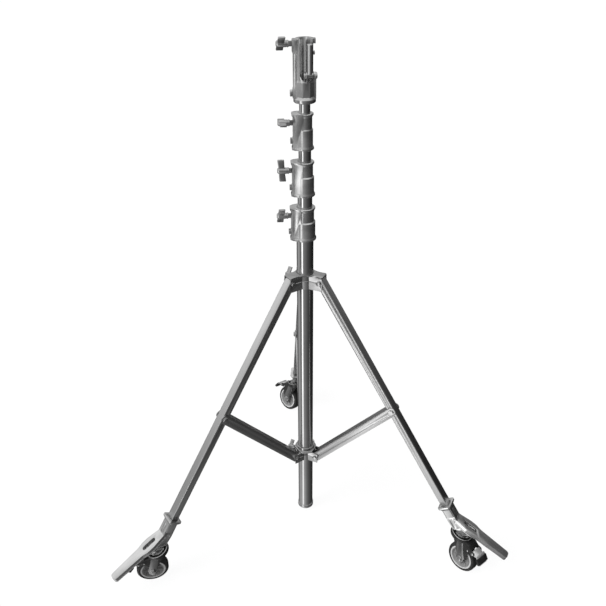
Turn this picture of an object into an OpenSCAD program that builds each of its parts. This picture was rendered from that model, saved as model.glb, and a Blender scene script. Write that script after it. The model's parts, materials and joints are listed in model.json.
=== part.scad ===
// Roller stand for lights: a telescoping column on three folding legs with braked casters.
// Origin at the middle of the column's foot, +Z up, millimetres.
// The rear leg points along +Y; the lock handles point along -X.

/* [Column and risers] */
// Outside diameter of the base column
column_d = 50; // [47:0.5:54]
// Outside diameter of the first riser
riser_1_d = 42; // [40:0.5:44]
// Outside diameter of the second riser
riser_2_d = 35; // [33:0.5:37]
// Outside diameter of the third riser
riser_3_d = 30; // [28:0.5:31]
// Wall of the column and of every riser
tube_wall = 1.5; // [1.2:0.1:2]
// How far the base column stands up past the leg hinges
column_above = 180.5818; // [160:0.0001:260]
// Length of the first riser that shows between its two collars, all tubes down
riser_1_shown = 35.3; // [25:0.1:60]
// Length of the second riser that shows between its two collars, all tubes down
riser_2_shown = 34.3; // [25:0.1:60]
// Length of the third riser that shows below the head, all tubes down
riser_3_shown = 28.3; // [20:0.1:60]
// Height of the guide bush at the foot of each riser
bush_h = 30; // [20:1:45]
// Floor of the column's end cap and of each guide bush
cap_floor = 4; // [3:0.5:6]
// Height of the ring of the end cap round the column's foot
cap_h = 14; // [10:1:24]
// Wall of the ring of the end cap
cap_wall = 2; // [1.5:0.5:3]

/* [Lock collars] */
// Height of each lock collar
collar_h = 100; // [90:1:120]
// Depth of the socket in which a tube seats
socket_depth = 50; // [40:1:58]
// Wall of a collar round its own tube
barrel_wall = 5; // [4:0.5:7]
// Wall of a collar's neck round the sliding riser
neck_wall = 5; // [4:0.5:7]
// How far the lower rim flares out
foot_flare = 3; // [1:0.5:5]
// How far the upper rim flares out
top_flare = 3.5; // [1:0.5:5]
// How far the screw boss stands out past the barrel
boss_out = 10; // [8:1:16]
// Half width of the end face of the screw boss
boss_end_half = 10; // [8:1:13]
// Corner cut of the screw boss
boss_cut = 7; // [4:1:9]
// Depth of the lock handle's axis below the collar's top
handle_drop = 27; // [24:1:36]
// Height of the fixing bolt above the collar's foot
bolt_rise = 24; // [16:1:32]

/* [Lock handles] */
// Radius of the lock screw
screw_r = 6; // [5:0.5:7]
// Radius of the handle's barrel
barrel_r = 9; // [8:0.5:11]
// Length of the handle's barrel
barrel_len = 33; // [28:1:40]
// Length of the neck between boss and barrel
handle_neck = 8; // [5:0.5:12]
// Span over both wings
wing_span = 63; // [50:1:76]
// Width of a wing along the screw
wing_w = 19; // [14:1:24]
// Thickness of a wing
wing_t = 8; // [5:0.5:11]
// How far each wing tip leans along the screw
wing_skew = 2.5; // [0:0.5:4]

/* [Head] */
// Height of the head casting
head_h = 162; // [150:1:180]
// Bore of the receiver for a 1 1/8 inch junior pin
receiver_d = 28.6; // [28:0.1:30]
// Wall of the receiver
receiver_wall = 8.2; // [6:0.1:10]
// Radius of the head's lower flange
flange_r = 30; // [27:0.5:34]
// Width of the open slot in the receiver's front
slot_w = 33; // [30:0.5:34]
// Direction in which the slot opens
slot_az = -79; // [-90:1:-70]
// Diameter of the baby pin, 5/8 inch
baby_d = 15.9; // [14:0.1:16]
// Length of the baby pin above its hinge
baby_len = 78; // [60:1:84]
// Height of the baby pin's hinge in the head
baby_hinge_h = 73; // [66:1:80]

/* [Legs] */
// Tilt of an open leg from the upright
leg_tilt = 32.5; // [26:0.5:36]
// Distance from the column's axis to the leg hinges
hinge_r = 54; // [52:0.5:60]
// Length of a leg tube below its hinge
leg_len = 880; // [800:1:960]
// Width of a leg tube, across the leg's plane
leg_w = 30; // [26:0.5:34]
// Depth of a leg tube, in the leg's plane
leg_d = 24; // [20:0.5:27]
// Wall of a leg tube
leg_wall = 1.8; // [1.2:0.1:2.5]
// Radius of a leg tube's corners
leg_corner = 3; // [2:0.5:5]
// Radius of the hinge bolts and the brace pins
pin_r = 4; // [3:0.5:5]

/* [Braces] */
// Distance from the leg hinge to the brace pin
brace_at = 469; // [430:1:500]
// Length of a brace between its pins
brace_len = 388; // [360:1:420]
// Depth of the brace channel
brace_d = 30; // [27:0.5:32]
// Thickness of the brace sheet
brace_t = 2; // [1.5:0.1:3]
// Distance from the column's axis to the brace pivots of the lower hub
hub_pin_r = 45; // [44:0.5:50]

/* [Hubs] */
// Thickness of the formed hub cheeks
cheek_t = 2.5; // [2:0.1:3.5]
// Height of the upper cheeks below the leg hinges
upper_below = 26; // [20:1:34]
// Height of the lower cheeks below the brace pivots
lower_below = 19; // [16:1:26]
// Reach of the cheeks past the pivots
cheek_past = 9; // [8:0.5:14]
// Radius of the pressed bead along a cheek
bead_r = 2; // [1:0.1:2.4]
// Thickness of the hub plates
plate_t = 4; // [3:0.5:6]
// Radius of the lower hub's plate
lower_plate_r = 37; // [35:0.5:38]

/* [Feet] */
// Depth to which the leg tube goes into the socket
foot_socket = 38; // [30:1:60]
// Wall of the socket round the leg tube
foot_wall = 3.5; // [3:0.5:5]
// How far the rim flares out
rim_flare = 7; // [3:0.5:9]
// Distance from the socket's rim to the caster's mounting pad
pad_past = 121; // [112:1:135]
// Radius of the mounting pad
pad_r = 23; // [20:0.5:26]
// Angle between the leg and the lifting blade
blade_turn = 29.5; // [22:0.5:34]
// Length of the lifting blade from the bend
blade_len = 196; // [150:1:230]
// Width of the blade at its slot
blade_w = 46; // [42:0.5:52]
// Width of the blade at its tip
blade_tip_w = 27; // [22:0.5:34]
// Depth of the blade's skirt
skirt_d = 14; // [10:0.5:18]
// Thickness of the blade's top and skirt
blade_t = 4; // [3:0.5:5]
// Distance from the bend to the middle of the slot
blade_slot_at = 48; // [42:1:60]
// Length of the slot
blade_slot_len = 50; // [36:1:56]
// Width of the slot
blade_slot_w = 14; // [10:0.5:16]

/* [Casters] */
// Lean of the swivel axis, its top outward, when the legs are open
caster_tilt = 16; // [10:0.5:20]
// Diameter of a wheel
wheel_d = 102; // [90:1:108]
// Width of a tyre
tyre_w = 32; // [26:0.5:36]
// Depth of the wheel's axle below the swivel ring
drop = 75; // [70:1:84]
// Distance of the axle behind the swivel axis
trail = 43; // [36:0.5:48]
// Radius of the swivel crown
crown_r = 36; // [32:0.5:38]
// Radius of the axle
axle_r = 5; // [4:0.5:6]
// Radius of the kingpin
king_r = 6; // [5:0.5:7]
// Thickness of the fork's sheet
fork_t = 3; // [2.5:0.5:4]
// Height of the column's foot above the floor
foot_clear = 12; // [5:1:40]

/* [Hidden] */
$fn = 48;

// Clearances: between sliding tubes, beside moving flat faces, round a pin, round a fixed seat
slide_gap = 0.3;
side_gap = 0.3;
run_gap = 0.05;
seat_gap = 0.05;
eps = 0.01;

leg_az = [90, 210, 330];
// Direction in which each caster trails, counted from its own leg
swivel_at = [42, -20, -22];
knob_az = 150;

// Feet along the leg from its hinge: the socket's rim, the caster's pad
rim_at = leg_len - foot_socket;
pad_at = rim_at + pad_past;

// Leg plane: the caster decides how high the hinges stand above the floor
swivel_to_leg = leg_tilt + caster_tilt;
function caster_fall(i) = drop * cos(caster_tilt) + trail * sin(caster_tilt) * cos(swivel_at[i]);
wheel_fall = max([for (i = [0:2]) caster_fall(i)]) + wheel_d / 2;
hinge_z = pad_at * cos(leg_tilt) + wheel_fall - foot_clear;
brace_pin_rr = hinge_r + brace_at * sin(leg_tilt);
brace_pin_z = hinge_z - brace_at * cos(leg_tilt);
hub_pin_z = brace_pin_z - sqrt(pow(brace_len, 2) - pow(brace_pin_rr - hub_pin_r, 2));
brace_lean = asin((brace_pin_rr - hub_pin_r) / brace_len);
leg_slot = leg_w / 2 + side_gap;
brace_in = leg_w / 2 + side_gap;
brace_out = brace_in + brace_t;
brace_slot = brace_out + side_gap;
brace_web = brace_d / 2 - 0.5;
hub_bore = column_d / 2 + slide_gap;
band_r = hub_bore + cheek_t;
leg_top = 10;
upper_above = 17;
lower_above = brace_d / 2 + 2;
hub_boss_r = 8;
hub_boss_out = 9;
hub_screw_r = 4.5;
hub_af = 13;
ring_h = 16;
stop_az = knob_az - 120;

// Heights up the collapsed column
stop_gap = 0.3;
plug_top = cap_floor + 6;
riser_1_z = plug_top + stop_gap + cap_floor;
riser_2_z = riser_1_z + stop_gap + cap_floor;
riser_3_z = riser_2_z + stop_gap + cap_floor;
column_len = hinge_z + column_above - cap_floor;
collar_3_z = cap_floor + column_len - socket_depth;
collar_2_z = collar_3_z + collar_h + riser_1_shown;
collar_1_z = collar_2_z + collar_h + riser_2_shown;
head_z = collar_1_z + collar_h + riser_3_shown;
riser_1_len = collar_2_z + socket_depth - riser_1_z;
riser_2_len = collar_1_z + socket_depth - riser_2_z;
riser_3_len = head_z + socket_depth - riser_3_z;
rim_h = 5;
flare_h = 6;
boss_inset = 0.5;
bolt_r = 4;
bolt_head_h = 7;
bolt_af = 16;

// Head
receiver_r = receiver_d / 2;
head_r = receiver_r + receiver_wall;
head_flange_h = 13;
head_shoulder = 54;
head_lug = 33;
head_handle_z = head_z + head_h - 13;
slot_floor = head_shoulder + 2;
baby_r = baby_d / 2;
baby_side = slot_w / 2 - baby_r - 0.5;
baby_out = receiver_r + baby_r + 1;
ear_t = 3;
ear_r = 9;
stop_r = 3;
stop_h = head_h - 36;

// Foot and caster
leg_end_gap = 0.5;
rim_len = 6;
socket_len = foot_socket + rim_len;
neck_half = leg_w / 2 + foot_wall - 2;
bend_n = leg_d / 2 + foot_wall + 1;
bend_at = rim_at + 60;
pad_t = 6;
king_in = 10;
race_t = 5;
race_r = 26;
crown_t = 4;
fork_in = tyre_w / 2 + 2.5;
fork_out = fork_in + fork_t;
wheel_r = wheel_d / 2;
core_r = wheel_r - 10;
pedal_x = 70;
pedal_z = -17;
pedal_pin_r = 3;

function unit(v) = v / norm(v);
function turn(a) = a > 180 ? a - 360 : a < -180 ? a + 360 : a;
// Arc that rounds the corner b between a and c
function corner(a, b, c, r, n) =
    let (u = unit(a - b), v = unit(c - b), half = acos(u * v) / 2,
        m = b + unit(u + v) * r / sin(half),
        p = b + u * r / tan(half) - m, q = b + v * r / tan(half) - m,
        s = atan2(p[1], p[0]), d = turn(atan2(q[1], q[0]) - s))
    [for (k = [0:n]) m + r * [cos(s + d * k / n), sin(s + d * k / n)]];
// Outline with every corner rounded by its own radius; 0 leaves it sharp
function rounded(pts, rs, n = 5) =
    [for (i = [0:len(pts) - 1])
        let (k = len(pts), r = is_list(rs) ? rs[i] : rs)
        each (r == 0 ? [pts[i]] : corner(pts[(i + k - 1) % k], pts[i], pts[(i + 1) % k], r, n))];
function box_outline(w, h) = [[-w / 2, -h / 2], [w / 2, -h / 2], [w / 2, h / 2], [-w / 2, h / 2]];
// Point where a line from p touches a circle of radius r round the origin
function tangent(p, r, side) =
    let (a = atan2(p[1], p[0]) + side * acos(r / norm(p))) r * [cos(a), sin(a)];

// Frames: across a leg's plane, down a leg, and on a caster's swivel axis
module on_az(a) { rotate([0, 0, a]) children(); }
module in_leg(i) {
    on_az(leg_az[i]) translate([hinge_r, 0, hinge_z]) rotate([0, 90 - leg_tilt, 0]) children();
}
module in_caster(i) {
    in_leg(i) translate([pad_at, 0, 0]) rotate([0, swivel_to_leg - 90, 0]) children();
}
module in_fork(i) { in_caster(i) rotate([0, 0, swivel_at[i]]) children(); }
module in_brace(i) {
    on_az(leg_az[i]) translate([brace_pin_rr, 0, brace_pin_z])
        rotate([0, 90 + brace_lean, 0]) children();
}
// Turns a part drawn up Z so that it points along -X, or lies along Y
module to_left() { rotate([0, -90, 0]) children(); }
module along_y() { rotate([90, 0, 0]) children(); }

module tube(d, len) {
    difference() {
        cylinder(h = len, d = d, $fn = 96);
        translate([0, 0, -1]) cylinder(h = len + 2, d = d - 2 * tube_wall, $fn = 96);
    }
}

module hex(af, h) { cylinder(h = h, d = af / cos(30), $fn = 6); }

// Foot of a prism on an outline: a rim k times as wide that slopes back to it
module flared(pts, k, rim, slope) {
    linear_extrude(rim) scale(k) polygon(pts);
    translate([0, 0, rim + slope]) mirror([0, 0, 1])
        linear_extrude(slope, scale = k, slices = 1) polygon(pts);
}

// Column and risers
module column_tube() { color("silver") translate([0, 0, cap_floor]) tube(column_d, column_len); }
module riser_1_tube() { color("silver") translate([0, 0, riser_1_z]) tube(riser_1_d, riser_1_len); }
module riser_2_tube() { color("silver") translate([0, 0, riser_2_z]) tube(riser_2_d, riser_2_len); }
module riser_3_tube() { color("silver") translate([0, 0, riser_3_z]) tube(riser_3_d, riser_3_len); }

module column_end_cap() {
    r_out = column_d / 2 + cap_wall;
    r_plug = column_d / 2 - tube_wall - seat_gap;
    r_seat = column_d / 2 + seat_gap;
    color("gainsboro") rotate_extrude($fn = 96) polygon([[0, 0], [r_out - 1.5, 0], [r_out, 1.5],
        [r_out, cap_h - 1], [r_out - 1, cap_h], [r_seat, cap_h], [r_seat, cap_floor],
        [r_plug, cap_floor], [r_plug, plug_top], [0, plug_top]]);
}

// Guide bush: a cup on the riser's foot that runs in the tube around it
module bush(z, d, outer_d) {
    r_out = outer_d / 2 - tube_wall - slide_gap / 2;
    r_seat = d / 2 + seat_gap;
    color("dimgray") translate([0, 0, z - cap_floor]) rotate_extrude($fn = 96)
        polygon([[0, 0], [r_out - 1, 0], [r_out, 1], [r_out, bush_h], [r_seat, bush_h],
            [r_seat, cap_floor], [0, cap_floor]]);
}
module riser_1_bush() { bush(riser_1_z, riser_1_d, column_d); }
module riser_2_bush() { bush(riser_2_z, riser_2_d, riser_1_d); }
module riser_3_bush() { bush(riser_3_z, riser_3_d, riser_2_d); }

// Outline of the screw boss: flat flanks that run out nearly tangent to the barrel, and cut corners
function boss_outline(r, out) =
    let (x = r + out, y = boss_end_half, side = [-(x - boss_cut), y + boss_cut])
    [tangent([side[0], -side[1]], r - 1, 1), [side[0], -side[1]], [-x, -y],
        [-x, y], side, tangent(side, r - 1, -1)];

// Lock collar: socket on its own tube, neck round the riser that slides through it
module collar(z, own_d, riser_d) {
    r = own_d / 2 + barrel_wall;
    neck = riser_d / 2 + slide_gap + neck_wall;
    foot = r + foot_flare;
    lip = neck + top_flare;
    step = socket_depth + 5;
    reach = r + boss_out;
    boss = boss_outline(r, boss_out);
    boss_h = collar_h - 2 * boss_inset;
    color("gainsboro") translate([0, 0, z]) difference() {
        union() {
            rotate_extrude($fn = 96) polygon([[0, 0], [foot - 1.5, 0], [foot, 1.5],
                [foot, rim_h], [r, rim_h + flare_h], [r, step], [neck, step + 3],
                [neck, collar_h - rim_h - flare_h], [lip, collar_h - rim_h],
                [lip, collar_h - 1.5], [lip - 1.5, collar_h], [0, collar_h]]);
            translate([0, 0, boss_inset]) {
                linear_extrude(boss_h) polygon(boss);
                flared(boss, (reach + foot_flare) / reach, rim_h, flare_h);
                translate([0, 0, boss_h]) mirror([0, 0, 1])
                    flared(boss, (reach + top_flare) / reach, rim_h, flare_h);
            }
        }
        translate([0, 0, -1]) cylinder(h = socket_depth + 1, r = own_d / 2 + seat_gap, $fn = 96);
        cylinder(h = collar_h + 1, r = riser_d / 2 + slide_gap, $fn = 96);
        translate([0, 0, collar_h - handle_drop]) to_left()
            cylinder(h = reach + foot_flare + 1, r = screw_r + run_gap);
        translate([0, 0, bolt_rise]) to_left()
            cylinder(h = reach + foot_flare + 1, r = bolt_r + seat_gap);
    }
}
module collar_3() { collar(collar_3_z, column_d, riser_1_d); }
module collar_2() { collar(collar_2_z, riser_1_d, riser_2_d); }
module collar_1() { collar(collar_1_z, riser_2_d, riser_3_d); }

// Hexagon bolt along +Z from seat height s, its shank reaching down to tip
module bolt(tip, s, r = bolt_r, af = bolt_af, h = bolt_head_h) {
    translate([0, 0, tip]) cylinder(h = s - tip + eps, r = r);
    translate([0, 0, s]) intersection() {
        hex(af, h);
        cylinder(h = h, r1 = af / 2 + h, r2 = af / 2 + 0.3);
    }
}
module collar_bolt(z, own_d) {
    color("lightgray") translate([0, 0, z + bolt_rise]) to_left()
        bolt(own_d / 2 + seat_gap, own_d / 2 + barrel_wall + boss_out);
}
module collar_3_bolt() { collar_bolt(collar_3_z, column_d); }
module collar_2_bolt() { collar_bolt(collar_2_z, riser_1_d); }
module collar_1_bolt() { collar_bolt(collar_1_z, riser_2_d); }

// Winged T handle up Z: screw from its tip, neck at the boss, barrel and two leaning wings
module wing(size, side) {
    half = wing_span / 2 * size;
    w = wing_w * size;
    lean = side * wing_skew * size;
    mid = (barrel_len - 3) * size - w / 2;
    pts = rounded([[3, mid - w / 2 + 2], [half, mid - w / 2 + lean], [half, mid + w / 2 + lean],
        [3, mid + w / 2 - 1]], [0, 4 * size, 4 * size, 0]);
    scale([side, 1, 1]) translate([0, wing_t * size / 2, 0]) along_y()
        linear_extrude(wing_t * size) polygon(pts);
}
module wing_handle(tip, seat, r, size = 1) {
    br = barrel_r * size;
    translate([0, 0, tip]) cylinder(h = seat + handle_neck * size - tip + eps, r = r);
    translate([0, 0, seat + side_gap]) cylinder(h = handle_neck * size - side_gap, r = br - 1.5);
    translate([0, 0, seat + handle_neck * size]) {
        rotate_extrude() polygon([[0, 0], [br, 0], [br, barrel_len * size * 0.6],
            [br - 1, barrel_len * size - 2], [br - 3, barrel_len * size], [0, barrel_len * size]]);
        wing(size, 1);
        wing(size, -1);
    }
}
module lock_handle(z, riser_d, seat, spin) {
    color("silver") translate([0, 0, z]) to_left() rotate([0, 0, spin])
        wing_handle(riser_d / 2 + slide_gap, seat, screw_r);
}
function collar_seat(own_d) = own_d / 2 + barrel_wall + boss_out;
module handle_3() {
    lock_handle(collar_3_z + collar_h - handle_drop, riser_1_d, collar_seat(column_d), 145);
}
module handle_2() {
    lock_handle(collar_2_z + collar_h - handle_drop, riser_2_d, collar_seat(riser_1_d), 0);
}
module handle_1() {
    lock_handle(collar_1_z + collar_h - handle_drop, riser_3_d, collar_seat(riser_2_d), 90);
}
module head_handle() { lock_handle(head_handle_z, receiver_d, head_lug, 128); }

// Ear across the slot's front, from y along the slot's own frame, its root reaching down
module pin_ear(y, root) {
    rotate([0, 0, slot_az]) translate([0, y + ear_t, baby_hinge_h]) along_y() linear_extrude(ear_t) {
        translate([baby_out, 0]) circle(r = ear_r);
        translate([receiver_r + 1, -root]) square([baby_out - receiver_r - 1, root + ear_r]);
        translate([receiver_r + 1, -root]) square([baby_out - receiver_r - 1 + ear_r, root]);
    }
}
// Head: eight-sided socket on the top riser, receiver open at the front, hinge ears for the pin
module head_casting() {
    seat_r = riser_3_d / 2 + seat_gap;
    oct_r = 26;
    color("gainsboro") translate([0, 0, head_z]) difference() {
        union() {
            rotate_extrude($fn = 96) polygon([[0, 0], [flange_r - 2, 0], [flange_r, 2],
                [flange_r, head_flange_h - 3], [oct_r - 1, head_flange_h + 3], [0, head_flange_h + 3]]);
            translate([0, 0, head_flange_h]) rotate([0, 0, slot_az - 27])
                cylinder(h = head_shoulder - head_flange_h, r = oct_r, $fn = 8);
            translate([0, 0, head_shoulder]) cylinder(h = 6, r1 = oct_r - 2, r2 = head_r, $fn = 96);
            translate([0, 0, head_shoulder]) cylinder(h = head_h - head_shoulder, r = head_r, $fn = 96);
            translate([0, 0, head_h - 11]) cylinder(h = 11, r = head_r + 1.5, $fn = 96);
            // Half-round rib up the left side, the lug of the lock screw over it
            translate([-head_r - 1, 0, head_flange_h]) cylinder(h = head_h - head_flange_h - 20, r = 7.5);
            translate([0, 8, 0]) along_y() linear_extrude(16) polygon(rounded(
                [[-head_r + 6, head_h - 42], [-head_lug, head_h - 34], [-head_lug, head_h - 1],
                [-head_r + 6, head_h - 1]], [0, 3, 3, 0]));
            translate([-head_lug + 1, -boss_end_half, bolt_rise - 12]) cube([head_lug, 2 * boss_end_half, 24]);
            // Lip at the right of the mouth and the rib below the hinge bolt
            translate([8, -8, head_h - 12]) cube([20, 16, 12]);
            translate([8, -3, head_flange_h - 4]) cube([22.5, 6, baby_hinge_h - head_flange_h - 4]);
            // Ears of the pin's hinge, one on the slot's right flank and one in its mouth
            pin_ear(baby_side + baby_r + side_gap, ear_r);
            pin_ear(baby_side - baby_r - side_gap - ear_t, ear_r + 10);
        }
        translate([0, 0, -1]) cylinder(h = socket_depth + 1, r = seat_r, $fn = 96);
        translate([0, 0, slot_floor]) cylinder(h = head_h, r = receiver_r, $fn = 96);
        // Slot through the front wall, round at its foot, with the inner ear left standing in it
        difference() {
            rotate([0, 0, slot_az]) {
                translate([7, -slot_w / 2, slot_floor + slot_w / 2]) cube([60, slot_w, head_h]);
                translate([7, 0, slot_floor + slot_w / 2]) rotate([0, 90, 0])
                    cylinder(h = 60, r = slot_w / 2);
            }
            pin_ear(baby_side - baby_r - side_gap - ear_t, ear_r + 10);
        }
        rotate([0, 0, slot_az]) translate([baby_out, 60, baby_hinge_h]) along_y()
            cylinder(h = 120, r = pin_r + run_gap);
        translate([0, 0, head_h - 13]) to_left() cylinder(h = 60, r = screw_r + run_gap);
        translate([0, 0, bolt_rise]) to_left() cylinder(h = 60, r = bolt_r + seat_gap);
        translate([0, 0, stop_h]) rotate([0, 90, 0]) cylinder(h = 60, r = stop_r + seat_gap);
    }
}

// Fixing bolt of the socket, hinge bolt of the baby pin, stop screw on the right
module head_bolts() {
    ear_out = baby_side + baby_r + side_gap + ear_t;
    ear_in = baby_side - baby_r - side_gap - ear_t;
    color("lightgray") translate([0, 0, head_z]) {
        translate([0, 0, bolt_rise]) to_left() bolt(riser_3_d / 2 + seat_gap, head_lug - 1);
        rotate([0, 0, slot_az]) translate([baby_out, 0, baby_hinge_h]) rotate([-90, 0, 0]) {
            bolt(ear_in - 3, ear_out, pin_r);
            translate([0, 0, ear_in - 6]) hex(hub_af, 6);
        }
        translate([0, 0, stop_h]) rotate([0, 90, 0]) bolt(receiver_r + 3, head_r, stop_r, 9, 4);
    }
}

// Flip-up pin: eye on the hinge bolt and a plain shank
module baby_pin() {
    color("silver") translate([0, 0, head_z + baby_hinge_h]) rotate([0, 0, slot_az])
        translate([baby_out, baby_side, 0]) difference() {
            union() {
                rotate_extrude($fn = 64) polygon([[0, 0], [baby_r, 0],
                    [baby_r, baby_len - 1.5], [baby_r - 1.5, baby_len], [0, baby_len]]);
                translate([0, baby_r, 0]) along_y() cylinder(h = 2 * baby_r, r = ear_r - 1);
            }
            translate([0, 20, 0]) along_y() cylinder(h = 40, r = pin_r + run_gap);
        }
}

// Hubs
// One cheek in plan, centred between two legs: band round the column and two wings
module cheek_outline(slot, reach) {
    far = 2 * (reach + band_r);
    difference() {
        union() {
            circle(r = band_r, $fn = 96);
            for (s = [-1, 1]) rotate(s * 60) translate([0, s > 0 ? -slot - cheek_t : slot])
                square([reach, cheek_t]);
        }
        circle(r = hub_bore, $fn = 96);
        for (s = [-1, 1]) rotate(s * 60) translate([-far, s > 0 ? -slot : slot - far])
            square([2 * far, far]);
        translate([-far + eps, -far]) square([far, 2 * far]);
    }
}
// Distance along a wing at which it leaves the band
function wing_start(slot) = sqrt(pow(band_r, 2) - pow(slot + cheek_t, 2));
// Length of a wing past the end of its bead, which clears the corner of the bolt head
bead_end = cheek_past + hub_af / 2 / cos(30) + 1;
module cheek(slot, reach, below, above) {
    difference() {
        union() {
            translate([0, 0, -below]) linear_extrude(below + above) cheek_outline(slot, reach);
            for (s = [-1, 1]) rotate([0, 0, s * 60])
                translate([wing_start(slot) - 2, -s * (slot + cheek_t), 0]) rotate([0, 90, 0])
                    cylinder(h = reach - wing_start(slot) + 2 - bead_end, r = bead_r, $fn = 24);
            intersection() {
                rotate_extrude($fn = 96) translate([band_r, 0]) circle(r = bead_r, $fn = 24);
                linear_extrude(3 * bead_r, center = true) polygon([[0, 0],
                    2 * band_r * [cos(18), -sin(18)], 2 * band_r * [cos(18), sin(18)]]);
            }
        }
        cylinder(h = 3 * bead_r, r = hub_bore, center = true, $fn = 96);
        for (s = [-1, 1]) rotate([0, 0, s * 60]) translate([reach - cheek_past, s > 0 ? 0 : 60, 0])
            along_y() cylinder(h = 60, r = pin_r + run_gap);
    }
}
module cheeks(slot, reach, below, above) {
    difference() {
        union() {
            for (a = leg_az) on_az(a + 60) cheek(slot, reach, below, above);
            on_az(knob_az) translate([band_r - 1, 0, 0]) rotate([0, 90, 0])
                cylinder(h = hub_boss_out + 1, r = hub_boss_r);
        }
        on_az(knob_az) rotate([0, 90, 0]) cylinder(h = 100, r = hub_screw_r + run_gap);
    }
}
module upper_hub_cheeks() {
    color("gainsboro") translate([0, 0, hinge_z])
        cheeks(leg_slot, hinge_r + cheek_past, upper_below, upper_above);
}
module lower_hub_cheeks() {
    color("gainsboro") translate([0, 0, hub_pin_z])
        cheeks(brace_slot, hub_pin_r + cheek_past, lower_below, lower_above);
}

// Plate over the leg hinges: an arm over each leg, scooped between them
module upper_hub_plate() {
    end = hinge_r + cheek_past + 1;
    half = leg_slot + cheek_t;
    near = [(end - 7) / 2 + half * cos(30), (end - 7) * cos(30) - half / 2];
    valley = band_r + 1;
    c = (pow(norm(near), 2) - pow(valley, 2)) / (2 * (near[0] - valley));
    color("whitesmoke") translate([0, 0, hinge_z + upper_above]) difference() {
        linear_extrude(plate_t) difference() {
            polygon([for (a = leg_az) for (p = [[end, -half + 3], [end, half - 3], [end - 3, half]])
                [p[0] * cos(a) - p[1] * sin(a), p[0] * sin(a) + p[1] * cos(a)]]);
            for (a = leg_az) rotate(a + 60) translate([c, 0]) circle(r = c - valley, $fn = 128);
        }
        translate([0, 0, -1]) cylinder(h = plate_t + 2, r = hub_bore, $fn = 96);
    }
}
// Plate round the column, with a flat over each brace so that it folds up clear
module lower_hub_plate() {
    ring = band_r + 2;
    flat_at = hub_pin_r - brace_d / 2 + 2.5;
    color("whitesmoke") translate([0, 0, hub_pin_z + lower_above]) difference() {
        rotate_extrude($fn = 96) polygon([[hub_bore, 0], [lower_plate_r - 1, 0], [lower_plate_r, 1],
            [lower_plate_r, plate_t - 1], [lower_plate_r - 1, plate_t], [ring + 1.5, plate_t], [ring, plate_t + 1.5],
            [ring, ring_h - 1], [ring - 1, ring_h], [hub_bore, ring_h]]);
        for (a = leg_az) on_az(a) translate([flat_at, -lower_plate_r, -1])
            cube([lower_plate_r, 2 * lower_plate_r, plate_t + 2]);
        on_az(stop_az) translate([0, 0, ring_h - 5]) rotate([0, 90, 0])
            cylinder(h = 60, r = stop_r + seat_gap);
    }
}

// Hinge bolt across a leg: head outside one cheek, nut outside the other
module upper_hinge_bolts() {
    out = leg_slot + cheek_t;
    color("lightgray") for (a = leg_az) on_az(a) translate([hinge_r, 0, hinge_z]) rotate([-90, 0, 0]) {
        bolt(-out - 7, out, pin_r, hub_af, 5);
        translate([0, 0, -out - 6]) hex(hub_af, 6);
    }
}
// Pivot studs of the braces, one in each cheek, and the stop bolt between the rear and right legs
module lower_hub_bolts() {
    out = brace_slot + cheek_t;
    color("lightgray") {
        for (a = leg_az) on_az(a) translate([hub_pin_r, 0, hub_pin_z]) for (s = [-1, 1])
            rotate([-90 * s, 0, 0]) bolt(brace_slot - side_gap + run_gap, out, pin_r, hub_af, 5);
        on_az(stop_az) translate([0, 0, hub_pin_z + lower_above + ring_h - 5]) rotate([0, 90, 0])
            bolt(hub_bore, band_r + 2, stop_r, 8, 5);
    }
}
module hub_knob(z) {
    color("lightgray") on_az(knob_az) translate([0, 0, z]) rotate([0, 90, 0]) rotate([0, 0, 35])
        wing_handle(hub_bore, band_r + hub_boss_out, hub_screw_r, 0.72);
}
module upper_hub_knob() { hub_knob(hinge_z); }
module lower_hub_knob() { hub_knob(hub_pin_z); }

// Leg: a rounded rectangular tube down +X of its frame, bored for the hinge bolt and the brace pin
module leg_tube(i) {
    color("lightgray") in_leg(i) difference() {
        translate([-leg_top, 0, 0]) rotate([0, 90, 0]) linear_extrude(leg_top + leg_len) difference() {
            polygon(rounded(box_outline(leg_d, leg_w), leg_corner));
            polygon(rounded(box_outline(leg_d - 2 * leg_wall, leg_w - 2 * leg_wall),
                leg_corner - leg_wall * 0.6));
        }
        for (s = [0, brace_at]) translate([s, leg_w, 0]) along_y()
            cylinder(h = 2 * leg_w, r = pin_r + run_gap);
    }
}

// Brace: pressed channel whose flanges embrace the leg, round ears at both ends
module brace(i) {
    ear = brace_d / 2 - 0.5;
    web_from = leg_d / 2 + 4;
    color("darkgray") in_brace(i) difference() {
        union() {
            for (s = [-1, 1]) translate([0, s > 0 ? brace_out : -brace_in, 0]) along_y()
                linear_extrude(brace_t) union() {
                    circle(r = ear);
                    translate([brace_len, 0]) circle(r = ear);
                    translate([0, -brace_web]) square([brace_len, brace_d]);
                }
            translate([web_from, -brace_in - brace_t / 2, -brace_web])
                cube([brace_len - web_from, 2 * brace_in + brace_t, brace_t]);
        }
        for (x = [0, brace_len]) translate([x, 60, 0]) along_y() cylinder(h = 120, r = pin_r + run_gap);
    }
}
module brace_pin(i) {
    out = brace_out + side_gap;
    color("lightgray") in_leg(i) translate([brace_at, 0, 0]) rotate([-90, 0, 0]) {
        bolt(-out - 1, out, pin_r, 14, 5);
        translate([0, 0, -out - 5]) hex(14, 5);
    }
}

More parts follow.
